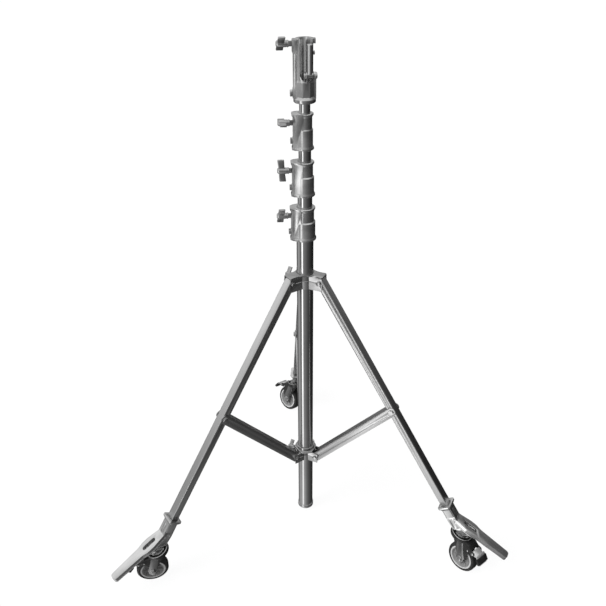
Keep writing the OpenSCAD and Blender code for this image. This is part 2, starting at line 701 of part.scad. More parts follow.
// Foot casting in the leg's frame: flared socket, ribbed neck, caster pad and lifting blade
function blade_outline(inset = 0) =
    let (x1 = blade_slot_at, x2 = blade_slot_at + blade_slot_len / 2 + 12,
        half = [[inset - 14, neck_half], [4, neck_half + 1], [x1 - 6, blade_w / 2], [x1 + 16, blade_w / 2],
            [x2, blade_tip_w / 2 + 4], [blade_len - inset, blade_tip_w / 2]])
    rounded(concat([for (p = half) [p[0], inset - p[1]]],
        [for (k = [5:-1:0]) [half[k][0], half[k][1] - inset]]),
        [2, 20, 40, 40, 40, max(8 - inset, 2), max(8 - inset, 2), 40, 40, 40, 20, 2]);
module oval(len, w) {
    translate([-(len - w) / 2, -w / 2]) square([len - w, w]);
    for (s = [-1, 1]) translate([s * (len - w) / 2, 0]) circle(d = w);
}
module blade() {
    difference() {
        union() {
            translate([0, 0, -blade_t]) linear_extrude(blade_t) polygon(blade_outline());
            translate([0, 0, -skirt_d]) linear_extrude(skirt_d) difference() {
                polygon(blade_outline());
                polygon(blade_outline(blade_t));
            }
            translate([0, 0, -skirt_d]) linear_extrude(2.5) difference() {
                polygon(blade_outline(-1.5));
                polygon(blade_outline(blade_t));
            }
            translate([blade_slot_at, 0, -skirt_d]) linear_extrude(skirt_d)
                oval(blade_slot_len + 6, blade_slot_w + 6);
        }
        translate([blade_slot_at, 0, -skirt_d - 1]) linear_extrude(skirt_d + 2)
            oval(blade_slot_len, blade_slot_w);
    }
}
module foot_casting(i) {
    w = leg_w + 2 * foot_wall;
    d = leg_d + 2 * foot_wall;
    pad_dir = swivel_to_leg - 90;
    // Neck from the socket to the pad, in the leg's plane
    neck = rounded([[rim_at + 4, -d / 2], [bend_at, -d / 2 - 1], [pad_at - 26, -12],
        [pad_at - 14, -3], [pad_at + 2, 12], [pad_at - 3, 20], [bend_at + 38, 25], [bend_at + 34, 32],
        [bend_at, bend_n - 1], [rim_at + 4, d / 2]], [0, 30, 6, 3, 2, 3, 4, 2, 20, 0]);
    color("gainsboro") in_leg(i) difference() {
        union() {
            translate([rim_at, 0, 0]) rotate([0, 90, 0]) {
                flared(rounded(box_outline(d, w), 5), [1 + 2 * rim_flare / d, 1 + 2 * rim_flare / w],
                    rim_len, 9);
                linear_extrude(socket_len) polygon(rounded(box_outline(d, w), 5));
            }
            translate([0, neck_half, 0]) along_y() linear_extrude(2 * neck_half) polygon(neck);
            translate([pad_at, 0, 0]) rotate([0, pad_dir, 0]) translate([0, 0, race_t])
                cylinder(h = pad_t, r = pad_r, $fn = 72);
            translate([bend_at, 0, bend_n]) rotate([0, -blade_turn, 0]) blade();
        }
        // Cavity for the leg tube
        translate([rim_at - 1, 0, 0]) rotate([0, 90, 0]) linear_extrude(leg_len - rim_at + 1 + leg_end_gap)
            polygon(rounded(box_outline(leg_d + 2 * seat_gap, leg_w + 2 * seat_gap), leg_corner));
        // Groove along the neck's outer face, and a pocket in each flank
        translate([rim_at + 38, 0, d / 2 - 1.2]) linear_extrude(20) difference() {
            oval(40, 13);
            oval(33, 6);
        }
        for (s = [-1, 1]) translate([bend_at + 14, s * (neck_half + 1), -2]) rotate([90, 0, 0])
            linear_extrude(4, center = true) oval(38, 15);
        // Bore for the kingpin
        translate([pad_at, 0, 0]) rotate([0, pad_dir, 0])
            cylinder(h = race_t + pad_t + king_in, r = king_r + seat_gap);
        translate([bend_at, 0, bend_n]) rotate([0, -blade_turn, 0])
            translate([blade_slot_at, 0, -skirt_d - 20]) linear_extrude(60)
                oval(blade_slot_len, blade_slot_w);
    }
}

// Kingpin: stem up into the pad, upper ball race under it, nut below the fork's crown
module kingpin(i) {
    low = -crown_t - 3 * side_gap;
    color("lightgray") in_caster(i) {
        translate([0, 0, low - 8]) cylinder(h = race_t + pad_t + king_in - low + 8, r = king_r);
        translate([0, 0, low - 7]) hex(18, 7);
        difference() {
            cylinder(h = race_t, r = race_r, $fn = 72);
            translate([0, 0, -1]) cylinder(h = race_t + 2, r = king_r - eps);
        }
    }
}

// Fork in its own frame: crown with an upstanding rim, two cheeks, hood towards the brake
module fork(i) {
    top = -side_gap;
    cheek = rounded([[-24, top - crown_t], [34, top - crown_t], [56, -14], [58, -24],
        [trail + 14, -drop + 4], [trail + 10, -drop - 13], [trail - 10, -drop - 13], [trail - 13, -drop + 6]],
        [0, 0, 8, 8, 14, 9, 9, 24]);
    hood = rounded([[20, top - crown_t], [30, top], [48, -4], [pedal_x - 10, pedal_z + 7],
        [pedal_x - 10, pedal_z + 2], [46, -10]], [0, 3, 4, 1.5, 1.5, 4]);
    color([0.13, 0.13, 0.14]) in_fork(i) difference() {
        union() {
            translate([0, 0, top - crown_t]) cylinder(h = crown_t, r = crown_r, $fn = 96);
            difference() {
                translate([0, 0, top - crown_t - 5]) cylinder(h = crown_t + 10, r = crown_r, $fn = 96);
                translate([0, 0, top - crown_t - 6]) cylinder(h = crown_t + 12, r = crown_r - 3, $fn = 96);
            }
            for (s = [-1, 1]) translate([0, s > 0 ? fork_out : -fork_in, 0]) along_y()
                linear_extrude(fork_t) polygon(cheek);
            translate([0, fork_out, 0]) along_y() linear_extrude(2 * fork_out) polygon(hood);
            for (s = [-1, 1]) translate([pedal_x, s > 0 ? fork_out : -fork_in, pedal_z]) along_y()
                linear_extrude(fork_t) union() {
                    circle(r = 7);
                    translate([-16, -7]) square([16, 14]);
                }
        }
        translate([0, 0, -30]) cylinder(h = 60, r = king_r + run_gap);
        translate([trail, 60, -drop]) along_y() cylinder(h = 120, r = axle_r + seat_gap);
        translate([pedal_x, 60, pedal_z]) along_y() cylinder(h = 120, r = pedal_pin_r + run_gap);
        translate([0, 0, -race_t - crown_t - 20]) cylinder(h = 20 + race_t, r = 13);
    }
}
module axle(i) {
    color("lightgray") in_fork(i) translate([trail, 0, -drop]) rotate([-90, 0, 0]) {
        bolt(-fork_out - 8, fork_out, axle_r, bolt_af, 6);
        translate([0, 0, -fork_out - 7]) hex(bolt_af, 7);
    }
}
// Wheel: tyre with rounded shoulders on a core with a deep rim and a long hub
module tyre(i) {
    h = tyre_w / 2;
    side = [for (k = [0:6]) [wheel_r - 9 + 9 * sin(15 * k), h - 9 + 9 * cos(15 * k)]];
    color([0.1, 0.1, 0.1]) in_fork(i) translate([trail, 0, -drop]) along_y()
        rotate_extrude($fn = 96) polygon(concat([[core_r, h - 1.5]], [[core_r + 1.5, h]], side,
            [for (k = [6:-1:0]) [side[k][0], -side[k][1]]], [[core_r + 1.5, -h]], [[core_r, 1.5 - h]]));
}
module wheel_core(i) {
    h = tyre_w / 2;
    hub = fork_in - side_gap;
    color("darkgray") in_fork(i) translate([trail, 0, -drop]) along_y() rotate_extrude($fn = 96)
        polygon([[axle_r + run_gap, -hub], [12, -hub], [14, -h + 8], [30, -h + 7], [34, -h + 1.5],
            [core_r - seat_gap, -h + 1.5], [core_r - seat_gap, h - 1.5], [34, h - 1.5], [30, h - 7],
            [14, h - 8], [12, hub], [axle_r + run_gap, hub]]);
}
// Brake pedal: bent plate on a cross pin, its toe over the tyre's back
module brake_pedal(i) {
    half = fork_in - side_gap;
    t = 3;
    top = rounded([[pedal_x - 7, pedal_z - 3], [pedal_x - 5, pedal_z + 6], [pedal_x + 18, pedal_z + 2],
        [pedal_x + 40, pedal_z - 17], [pedal_x + 38, pedal_z - 19.5], [pedal_x + 17, pedal_z - 2],
        [pedal_x + 4, pedal_z - 7]], [3, 3, 6, 0.8, 0.8, 6, 3]);
    color("silver") in_fork(i) {
        translate([0, half, 0]) along_y() linear_extrude(2 * half) polygon(top);
        translate([pedal_x, fork_out + 1, pedal_z]) along_y()
            cylinder(h = 2 * fork_out + 2, r = pedal_pin_r);
    }
}

upper_hub_plate();
upper_hub_cheeks();
upper_hinge_bolts();
upper_hub_knob();
column_tube();
column_end_cap();
collar_3();
collar_3_bolt();
handle_3();
riser_1_tube();
riser_1_bush();
collar_2();
collar_2_bolt();
handle_2();
riser_2_tube();
riser_2_bush();
collar_1();
collar_1_bolt();
handle_1();
riser_3_tube();
riser_3_bush();
head_casting();
head_bolts();
head_handle();
baby_pin();
lower_hub_plate();
lower_hub_cheeks();
lower_hub_bolts();
lower_hub_knob();
leg_tube(0);  // leg_tube_rear
leg_tube(1);  // leg_tube_left
leg_tube(2);  // leg_tube_right
foot_casting(0);  // foot_casting_rear
foot_casting(1);  // foot_casting_left
foot_casting(2);  // foot_casting_right
kingpin(0);  // kingpin_rear
kingpin(1);  // kingpin_left
kingpin(2);  // kingpin_right
brace_pin(0);  // brace_pin_rear
brace_pin(1);  // brace_pin_left
brace_pin(2);  // brace_pin_right
brace(0);  // brace_rear
brace(1);  // brace_left
brace(2);  // brace_right
fork(0);  // fork_rear
fork(1);  // fork_left
fork(2);  // fork_right
axle(0);  // axle_rear
axle(1);  // axle_left
axle(2);  // axle_right
wheel_core(0);  // wheel_core_rear
wheel_core(1);  // wheel_core_left
wheel_core(2);  // wheel_core_right
tyre(0);  // tyre_rear
tyre(1);  // tyre_left
tyre(2);  // tyre_right
brake_pedal(0);  // brake_pedal_rear
brake_pedal(1);  // brake_pedal_left
brake_pedal(2);  // brake_pedal_right
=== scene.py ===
import json
from math import cos, pi, radians, sin

import bmesh
import bpy
from mathutils import Matrix, Vector


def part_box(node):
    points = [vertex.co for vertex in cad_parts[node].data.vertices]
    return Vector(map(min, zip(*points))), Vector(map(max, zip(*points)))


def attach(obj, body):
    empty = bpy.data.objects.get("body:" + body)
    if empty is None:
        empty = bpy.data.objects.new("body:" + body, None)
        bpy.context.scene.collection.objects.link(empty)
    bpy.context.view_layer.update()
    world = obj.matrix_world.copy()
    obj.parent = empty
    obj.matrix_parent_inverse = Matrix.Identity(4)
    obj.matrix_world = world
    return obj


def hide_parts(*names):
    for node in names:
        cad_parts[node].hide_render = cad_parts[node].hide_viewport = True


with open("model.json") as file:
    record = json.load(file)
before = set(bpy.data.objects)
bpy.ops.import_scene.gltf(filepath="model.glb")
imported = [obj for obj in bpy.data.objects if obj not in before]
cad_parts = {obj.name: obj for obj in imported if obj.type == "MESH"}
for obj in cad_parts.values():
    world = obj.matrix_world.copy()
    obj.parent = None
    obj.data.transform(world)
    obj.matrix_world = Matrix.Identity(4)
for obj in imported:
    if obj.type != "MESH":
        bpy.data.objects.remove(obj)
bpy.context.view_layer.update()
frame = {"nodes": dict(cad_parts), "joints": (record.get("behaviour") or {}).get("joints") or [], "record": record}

print("roller stand: frame loaded, %d nodes" % len(frame["nodes"]))
sides = ("rear", "left", "right")
joints = {j["name"]: j for j in frame["joints"]}
mm = 0.001


def bodyOf(nodeName):
    for body, members in frame["record"]["behaviour"]["bodies"].items():
        if nodeName in members:
            return body


def meshFrom(name, bm):
    mesh = bpy.data.meshes.new(name)
    bm.to_mesh(mesh)
    bm.free()
    return mesh


def addObject(name, data):
    o = bpy.data.objects.new(name, data)
    bpy.context.collection.objects.link(o)
    return o


# a bmesh becomes a finished piece: smooth faces with sharp creases, on its body, in place of its CAD nodes
def putPiece(name, bm, body, material, nodes, sharp):
    mesh = meshFrom(name, bm)
    mesh.shade_smooth()
    mesh.set_sharp_from_angle(angle=radians(sharp))
    piece = addObject(name, mesh)
    mesh.materials.append(material)
    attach(piece, body)
    if nodes:
        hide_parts(*nodes)


# a bmesh joins another, moved to its place first
def addMesh(target, source, place=None):
    if place is not None:
        bmesh.ops.transform(source, matrix=place, verts=source.verts)
    mesh = meshFrom("part", source)
    target.from_mesh(mesh)
    bpy.data.meshes.remove(mesh)


def roundEdges(bm, edges, width, segments=2):
    bmesh.ops.bevel(bm, geom=edges, offset=width * mm, offset_type="OFFSET", segments=segments,
                    profile=0.5, affect="EDGES", clamp_overlap=True, material=-1)


# a CAD solid again, its flat faces joined up and its hard edges rounded
def softSolid(nodeName, width, crease=28):
    bm = bmesh.new()
    bm.from_mesh(frame["nodes"][nodeName].data)
    bmesh.ops.remove_doubles(bm, verts=bm.verts, dist=2e-6)
    bmesh.ops.dissolve_degenerate(bm, edges=bm.edges, dist=2e-6)
    bmesh.ops.dissolve_limit(bm, angle_limit=radians(0.6), verts=bm.verts, edges=bm.edges)
    hard = [e for e in bm.edges if len(e.link_faces) == 2 and e.calc_face_angle(0) > radians(crease)]
    roundEdges(bm, hard, width)
    return bm


def softened(nodeName, material, width):
    bm = softSolid(nodeName, width)
    putPiece(nodeName + ".skin", bm, bodyOf(nodeName), material, (nodeName,), 32)


# a turned solid from (radius, height) points in millimetres, added to a mesh
def turnInto(bm, profile, place=None, steps=48, closed=False):
    made = bmesh.new()
    ring = [made.verts.new((r * mm, 0, z * mm)) for r, z in profile]
    for a, b in zip(ring, ring[1:] + ([ring[0]] if closed else [])):
        made.edges.new((a, b))
    bmesh.ops.spin(made, geom=made.verts[:] + made.edges[:], cent=(0, 0, 0), axis=(0, 0, 1),
                   angle=2 * pi, steps=steps, use_merge=True, use_duplicate=False)
    bmesh.ops.remove_doubles(made, verts=made.verts, dist=1e-6)
    bmesh.ops.recalc_face_normals(made, faces=made.faces)
    addMesh(bm, made, place)


# a block with all its edges rounded, sizes and middle in millimetres
def blockInto(bm, size, middle, round_, place=None, segments=3, shape=None):
    made = bmesh.new()
    bmesh.ops.create_cube(made, size=1.0)
    bmesh.ops.scale(made, vec=[s * mm for s in size], verts=made.verts)
    bmesh.ops.translate(made, vec=[c * mm for c in middle], verts=made.verts)
    if shape:
        shape(made)
    roundEdges(made, made.edges[:], round_, segments)
    addMesh(bm, made, place)


# a matrix at a point, its Z along zAxis and its X near xAxis
def aim(point, zAxis, xAxis):
    z = Vector(zAxis).normalized()
    x = (Vector(xAxis) - Vector(xAxis).dot(z) * z).normalized()
    return Matrix.Translation(point) @ Matrix((x, z.cross(x), z)).transposed().to_4x4()


# X points down the leg, Y along the axis that it folds about
def legFrame(side):
    fold, knee = joints["leg_%s_fold" % side], joints["brace_%s_fold" % side]
    start = Vector(fold["pos_m"])
    down = (Vector(knee["pos_m"]) - start).normalized()
    across = Vector(fold["axis"])
    return aim(start, down.cross(across), down)


# X points from the swivel axis to the trailing side, Y along the axle, Z up the swivel axis
def forkFrame(side):
    swivel, roll = joints["caster_%s_swivel" % side], joints["wheel_%s_roll" % side]
    up, axle = Vector(swivel["axis"]), Vector(roll["axis"])
    return aim(Vector(swivel["pos_m"]), up, axle.cross(up))


# Z points along the axle, X up the swivel axis
def wheelFrame(side):
    roll = joints["wheel_%s_roll" % side]
    swivel = joints["caster_%s_swivel" % side]
    return aim(Vector(roll["pos_m"]), Vector(roll["axis"]), Vector(swivel["axis"]))


# how far a CAD node reaches along a frame's axis, in millimetres
def reach(nodeName, place, axis):
    inverse = place.inverted()
    along = [(inverse @ v.co)[axis] / mm for v in frame["nodes"][nodeName].data.vertices]
    return min(along), max(along)


def newGroup(name, inputs, outputs):
    group = bpy.data.node_groups.new(name, "ShaderNodeTree")
    for label, kind, value in inputs:
        s = group.interface.new_socket(name=label, in_out="INPUT", socket_type=kind)
        if value is not None:
            s.default_value = value
    for label in outputs:
        group.interface.new_socket(name=label, in_out="OUTPUT", socket_type="NodeSocketFloat")
    return group, group.nodes.new("NodeGroupInput"), group.nodes.new("NodeGroupOutput")


def node(tree, kind, inputs=None, **settings):
    n = tree.nodes.new("ShaderNode" + kind)
    for k, v in settings.items():
        setattr(n, k, v)
    for k, v in (inputs or {}).items():
        if isinstance(v, bpy.types.NodeSocket):
            tree.links.new(v, n.inputs[k])
        else:
            n.inputs[k].default_value = v
    return n


def mathNode(tree, operation, *values, clamp=False):
    return node(tree, "Math", dict(enumerate(values)), operation=operation, use_clamp=clamp).outputs[0]


# sand-cast skin: fine pits over a slow unevenness
def grainGroup():
    sockets = [("Vector", "NodeSocketVector", None), ("Scale", "NodeSocketFloat", 900.0)]
    g, i, o = newGroup("castGrain", sockets, ["Height", "Mask"])
    v, scale = i.outputs["Vector"], i.outputs["Scale"]
    fine = node(g, "TexNoise", {"Vector": v, "Scale": scale, "Detail": 4.0, "Roughness": 0.6})
    slow = node(g, "TexNoise", {"Vector": v, "Scale": mathNode(g, "MULTIPLY", scale, 0.06), "Detail": 3.0})
    height = mathNode(g, "MULTIPLY_ADD", slow.outputs["Fac"], 1.5, fine.outputs["Fac"])
    g.links.new(height, o.inputs["Height"])
    g.links.new(slow.outputs["Fac"], o.inputs["Mask"])
    return g


# rubbed edges: where the rounded normal leaves the true one, broken up by noise
def wearGroup():
    sockets = [("Vector", "NodeSocketVector", None), ("Radius", "NodeSocketFloat", 0.0012),
               ("Breakup", "NodeSocketFloat", 260.0)]
    g, i, o = newGroup("edgeWear", sockets, ["Mask"])
    soft = node(g, "Bevel", {"Radius": i.outputs["Radius"]}, samples=4)
    true = node(g, "NewGeometry")
    pair = {0: soft.outputs["Normal"], 1: true.outputs["Normal"]}
    dot = node(g, "VectorMath", pair, operation="DOT_PRODUCT")
    edge = node(g, "MapRange", {"Value": dot.outputs["Value"], "From Min": 0.995, "From Max": 0.86})
    at, breakup = i.outputs["Vector"], i.outputs["Breakup"]
    noise = node(g, "TexNoise", {"Vector": at, "Scale": breakup, "Detail": 3.0})
    cut = node(g, "MapRange", {"Value": noise.outputs["Fac"], "From Min": 0.35, "From Max": 0.6})
    g.links.new(mathNode(g, "MULTIPLY", edge.outputs[0], cut.outputs[0]), o.inputs["Mask"])
    return g


# brushing marks drawn out along the vector's Z
def streakGroup():
    sockets = [("Vector", "NodeSocketVector", None), ("Scale", "NodeSocketFloat", 700.0)]
    g, i, o = newGroup("brushStreaks", sockets, ["Height", "Mask"])
    long = node(g, "Mapping", {"Vector": i.outputs["Vector"], "Scale": (1.0, 1.0, 0.012)})
    fine = node(g, "TexNoise", {"Vector": long.outputs[0], "Scale": i.outputs["Scale"], "Detail": 3.0})
    coarse = mathNode(g, "MULTIPLY", i.outputs["Scale"], 0.12)
    wide = node(g, "TexNoise", {"Vector": long.outputs[0], "Scale": coarse, "Detail": 2.0})
    g.links.new(fine.outputs["Fac"], o.inputs["Height"])
    g.links.new(wide.outputs["Fac"], o.inputs["Mask"])
    return g


# handling marks: large soft patches with a fine haze in them
def smudgeGroup():
    sockets = [("Vector", "NodeSocketVector", None), ("Scale", "NodeSocketFloat", 14.0)]
    g, i, o = newGroup("smudges", sockets, ["Mask"])
    big = node(g, "TexNoise", {"Vector": i.outputs["Vector"], "Scale": i.outputs["Scale"], "Detail": 5.0,
                               "Roughness": 0.62})
    cut = node(g, "MapRange", {"Value": big.outputs["Fac"], "From Min": 0.42, "From Max": 0.7})
    g.links.new(cut.outputs[0], o.inputs["Mask"])
    return g


castGrain, edgeWear, brushStreaks, smudges = grainGroup(), wearGroup(), streakGroup(), smudgeGroup()
print("roller stand: shader groups ready")


def startMaterial(name):
    m = bpy.data.materials.new(name)
    m.use_nodes = True
    t = m.node_tree
    return m, t, t.nodes["Principled BSDF"], node(t, "TexCoord").outputs["Object"]


def group(t, tree, inputs):
    return node(t, "Group", inputs, node_tree=tree)


def grey(value):
    return (value, value, value, 1)


def mixColor(t, mask, a, b):
    a, b = (v if isinstance(v, bpy.types.NodeSocket) else grey(v) for v in (a, b))
    return node(t, "Mix", {0: mask, 6: a, 7: b}, data_type="RGBA").outputs[2]


def spread(t, value, low, high):
    return node(t, "MapRange", {"Value": value, "To Min": low, "To Max": high}).outputs[0]


def bump(t, height, strength, distance):
    return node(t, "Bump", {"Height": height, "Strength": strength, "Distance": distance}).outputs["Normal"]


# shared by the finishes of one kind: how deep the bump is in metres, and how rubbed edges break up
relief = {"chrome": 0.00004, "cast": 0.0002, "steel": 0.00006, "paint": 0.0001, "plastic": 0.0001}
rubbing = {"cast": {"Breakup": 180.0}, "steel": {"Breakup": 120.0, "Radius": 0.001},
           "paint": {"Breakup": 150.0, "Radius": 0.0009}}
steelSmudges, mouldGrain = 9.0, 1400.0


# mirror plating with handling smudges and faint draw lines down the tube
def polishedChrome(name, look):
    m, t, s, v = startMaterial(name)
    marks = group(t, smudges, {"Vector": v, "Scale": look["smudgeScale"]})
    lines = group(t, brushStreaks, {"Vector": v, "Scale": look["lineScale"]})
    t.links.new(mixColor(t, marks.outputs[0], look["color"], look["hazeColor"]), s.inputs["Base Color"])
    t.links.new(spread(t, marks.outputs[0], look["gloss"], look["haze"]), s.inputs["Roughness"])
    t.links.new(bump(t, lines.outputs["Height"], look["lineDepth"], relief["chrome"]), s.inputs["Normal"])
    s.inputs["Metallic"].default_value = 1.0
    return m


# blasted alloy or pressed sheet: grained, with painted shade darkening its hollows, bright where it is rubbed
def castAlloy(name, look):
    m, t, s, v = startMaterial(name)
    grain = group(t, castGrain, {"Vector": v, "Scale": look["grainScale"]})
    wear = group(t, edgeWear, {"Vector": v, "Radius": look["wearRadius"], **rubbing["cast"]})
    skin = mixColor(t, grain.outputs["Mask"], look["dark"], look["color"])
    # painted shade: the colour goes dark where ambient occlusion finds hollows and crevices
    hollow = node(t, "AmbientOcclusion", {"Distance": look["hollow"]}, samples=6).outputs["AO"]
    paintedShade = node(t, "MapRange", {"Value": hollow, "From Min": 0.75, "From Max": 0.35, "To Max": 0.85})
    skin = mixColor(t, paintedShade.outputs[0], skin, look["paintedShade"])
    t.links.new(mixColor(t, wear.outputs[0], skin, look["rubbed"]), s.inputs["Base Color"])
    rough = spread(t, grain.outputs["Mask"], look["roughLow"], look["roughHigh"])
    rubbed = mathNode(t, "MULTIPLY_ADD", wear.outputs[0], -0.14, rough, clamp=True)
    t.links.new(rubbed, s.inputs["Roughness"])
    t.links.new(bump(t, grain.outputs["Height"], look["grainDepth"], relief["cast"]), s.inputs["Normal"])
    s.inputs["Metallic"].default_value = look["metal"]
    return m


# rolled and brushed steel, the marks along one direction of the part's space
def brushedSteel(name, look, along=(0, 0, 1)):
    m, t, s, v = startMaterial(name)
    turn = tuple(Vector(along).normalized().rotation_difference(Vector((0, 0, 1))).to_euler())
    laid = node(t, "Mapping", {"Vector": v, "Rotation": turn}).outputs[0]
    lines = group(t, brushStreaks, {"Vector": laid, "Scale": look["lineScale"]})
    marks = group(t, smudges, {"Vector": v, "Scale": steelSmudges})
    wear = group(t, edgeWear, {"Vector": v, **rubbing["steel"]})
    steel = mixColor(t, lines.outputs["Mask"], look["dark"], look["color"])
    t.links.new(mixColor(t, wear.outputs[0], steel, look["rubbed"]), s.inputs["Base Color"])
    rough = spread(t, lines.outputs["Height"], look["roughLow"], look["roughHigh"])
    handled = mathNode(t, "MULTIPLY_ADD", marks.outputs[0], 0.08, rough, clamp=True)
    t.links.new(handled, s.inputs["Roughness"])
    t.links.new(bump(t, lines.outputs["Height"], look["lineDepth"], relief["steel"]), s.inputs["Normal"])
    s.inputs["Metallic"].default_value = 1.0
    return m


# semi-gloss paint: slight orange peel, grey metal where the edges are rubbed through
def blackCoat(name, look):
    m, t, s, v = startMaterial(name)
    peel = group(t, castGrain, {"Vector": v, "Scale": look["peelScale"]})
    wear = group(t, edgeWear, {"Vector": v, **rubbing["paint"]})
    t.links.new(mixColor(t, wear.outputs[0], look["color"], look["rubbed"]), s.inputs["Base Color"])
    t.links.new(spread(t, peel.outputs["Mask"], look["roughLow"], look["roughHigh"]), s.inputs["Roughness"])
    t.links.new(bump(t, peel.outputs["Height"], look["peelDepth"], relief["paint"]), s.inputs["Normal"])
    return m


# tyre rubber and nylon: mottled, dusty or clean, with a fine moulded grain
def mouldedPlastic(name, look):
    m, t, s, v = startMaterial(name)
    dust = group(t, smudges, {"Vector": v, "Scale": look["dustScale"]})
    grain = group(t, castGrain, {"Vector": v, "Scale": mouldGrain})
    skin = mixColor(t, grain.outputs["Mask"], look["dark"], look["color"])
    t.links.new(mixColor(t, dust.outputs[0], skin, look["dust"]), s.inputs["Base Color"])
    t.links.new(spread(t, dust.outputs[0], look["rough"], look["rough"] + 0.18), s.inputs["Roughness"])
    t.links.new(bump(t, grain.outputs["Height"], look["grainDepth"], relief["plastic"]), s.inputs["Normal"])
    return m


tubeLook = {"color": 0.64, "hazeColor": 0.56, "gloss": 0.07, "haze": 0.16,
            "smudgeScale": 12.0, "lineScale": 500.0, "lineDepth": 0.12}
handleLook = {"color": 0.46, "hazeColor": 0.32, "gloss": 0.14, "haze": 0.28,
              "smudgeScale": 60.0, "lineScale": 500.0, "lineDepth": 0.05}
# for the castings, the sheet and the pedal, the last entry is the colour of the painted shade in hollows
castLook = {"color": 0.76, "dark": 0.32, "rubbed": 1.0, "roughLow": 0.17, "roughHigh": 0.27,
            "metal": 0.94, "grainScale": 420.0, "grainDepth": 0.5,
            "wearRadius": 0.0018, "hollow": 0.014, "paintedShade": 0.02}
footLook = {"color": 0.78, "dark": 0.5, "rubbed": 1.0, "roughLow": 0.14, "roughHigh": 0.24,
            "metal": 0.96, "grainScale": 360.0, "grainDepth": 0.22,
            "wearRadius": 0.0014, "hollow": 0.013, "paintedShade": 0.02}
sheetLook = {"color": 0.52, "dark": 0.3, "rubbed": 0.86, "roughLow": 0.07, "roughHigh": 0.14,
             "metal": 0.97, "grainScale": 420.0, "grainDepth": 0.3,
             "wearRadius": 0.001, "hollow": 0.01, "paintedShade": 0.03}
pedalLook = {"color": 0.86, "dark": 0.74, "rubbed": 0.9, "roughLow": 0.26, "roughHigh": 0.36,
             "metal": 0.6, "grainScale": 420.0, "grainDepth": 0.2,
             "wearRadius": 0.001, "hollow": 0.003, "paintedShade": 0.3}
legLook = {"color": 0.64, "dark": 0.48, "rubbed": 0.8, "roughLow": 0.2, "roughHigh": 0.33,
           "lineScale": 620.0, "lineDepth": 0.25}
boltLook = {"color": 0.68, "dark": 0.46, "rubbed": 0.85, "roughLow": 0.15, "roughHigh": 0.3,
            "lineScale": 900.0, "lineDepth": 0.15}
armLook = {"color": 0.34, "dark": 0.24, "rubbed": 0.6, "roughLow": 0.16, "roughHigh": 0.26,
           "lineScale": 500.0, "lineDepth": 0.12}
paintLook = {"color": 0.018, "rubbed": 0.1, "roughLow": 0.2, "roughHigh": 0.36,
             "peelScale": 420.0, "peelDepth": 0.12}
rubberLook = {"color": 0.014, "dark": 0.009, "dust": 0.035, "rough": 0.48,
              "dustScale": 45.0, "grainDepth": 0.25}
coreLook = {"color": 0.32, "dark": 0.22, "dust": 0.2, "rough": 0.34,
            "dustScale": 30.0, "grainDepth": 0.12}
bandLook = {"color": 0.8, "dark": 0.7, "dust": 0.6, "rough": 0.3,
            "dustScale": 30.0, "grainDepth": 0.08}
bushLook = {"color": 0.03, "dark": 0.02, "dust": 0.045, "rough": 0.4,
            "dustScale": 30.0, "grainDepth": 0.1}

chrome = polishedChrome("tubeChrome", tubeLook)
handleMetal = polishedChrome("handlePlating", handleLook)
cast = castAlloy("satinCasting", castLook)
footAlloy = castAlloy("footCasting", footLook)
sheet = castAlloy("pressedSheet", sheetLook)
pedalSteel = castAlloy("pedalSteel", pedalLook)
armSteel = brushedSteel("armSteel", armLook)
boltSteel = brushedSteel("boltZinc", boltLook)
paint = blackCoat("forkPaint", paintLook)
rubber = mouldedPlastic("tyreRubber", rubberLook)
coreNylon = mouldedPlastic("coreNylon", coreLook)
bandNylon = mouldedPlastic("bandNylon", bandLook)
bushNylon = mouldedPlastic("bushNylon", bushLook)
print("roller stand: materials ready")


def dress(names, material):
    for n in names:
        o = frame["nodes"][n]
        if not o.material_slots:
            o.data.materials.append(material)
        for s in o.material_slots:
            s.material = material


dress(["column_tube", "riser_1_tube", "riser_2_tube", "riser_3_tube"], chrome)
dress(["riser_1_bush", "riser_2_bush", "riser_3_bush"], bushNylon)
for n in ("collar_1", "collar_2", "collar_3", "head_casting", "column_end_cap"):
    softened(n, cast, width=0.9)
for n in ("upper_hub_plate", "upper_hub_cheeks", "lower_hub_plate", "lower_hub_cheeks"):
    softened(n, sheet, width=0.5)
for side in sides:
    softened("foot_casting_" + side, footAlloy, width=0.9)
print("roller stand: castings rounded")

# flip-up pin: plain shank with a chamfered top, its eye round the hinge bolt
pinLook = {"radius": 7.95, "length": 78, "chamfer": 1.2, "eye": 8.4, "edge": 0.8, "dimple": (0.35, 0.25)}
swing = joints["baby_pin_swing"]
place = aim(Vector(swing["pos_m"]), (0, 0, 1), Vector(swing["axis"]).cross(Vector((0, 0, 1))))
hinge = aim(Vector(swing["pos_m"]), Vector(swing["axis"]), (0, 0, 1))
r, h, c = pinLook["radius"], pinLook["length"], pinLook["chamfer"]
eye, e = pinLook["eye"], pinLook["edge"]
mouth, pit = (r * share for share in pinLook["dimple"])
bm = bmesh.new()
shank = [(0, 0), (r, 0), (r, h - c), (r - c, h), (mouth, h), (pit, h - e), (0, h - e)]
turnInto(bm, shank, place, steps=56)
turnInto(bm, [(0, -r), (eye - e, -r), (eye, -r + e), (eye, r - e), (eye - e, r), (0, r)], hinge, steps=40)
putPiece("baby_pin.plain", bm, "baby_pin", chrome, ("baby_pin",), 34)

# legs and braces, brushed along their own length; a brace runs from its knee to the lower hub's pin
braceLook = {"hubPin": 45, "pinUp": 14.5}
for side in sides:
    place = legFrame(side)
    along = place.to_3x3() @ Vector((1, 0, 0))
    knee = Vector(joints["brace_%s_fold" % side]["pos_m"])
    hubEnd = Vector((knee.x, knee.y, 0)).normalized() * braceLook["hubPin"] * mm
    hubEnd.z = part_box("brace_" + side)[0].z + braceLook["pinUp"] * mm
    legSteel = brushedSteel("legSteel_" + side, legLook, along)
    braceSteel = brushedSteel("braceSteel_" + side, legLook, knee - hubEnd)
    softened("leg_tube_" + side, legSteel, width=0.3)
    softened("brace_" + side, braceSteel, width=0.5)
print("roller stand: legs and braces brushed")
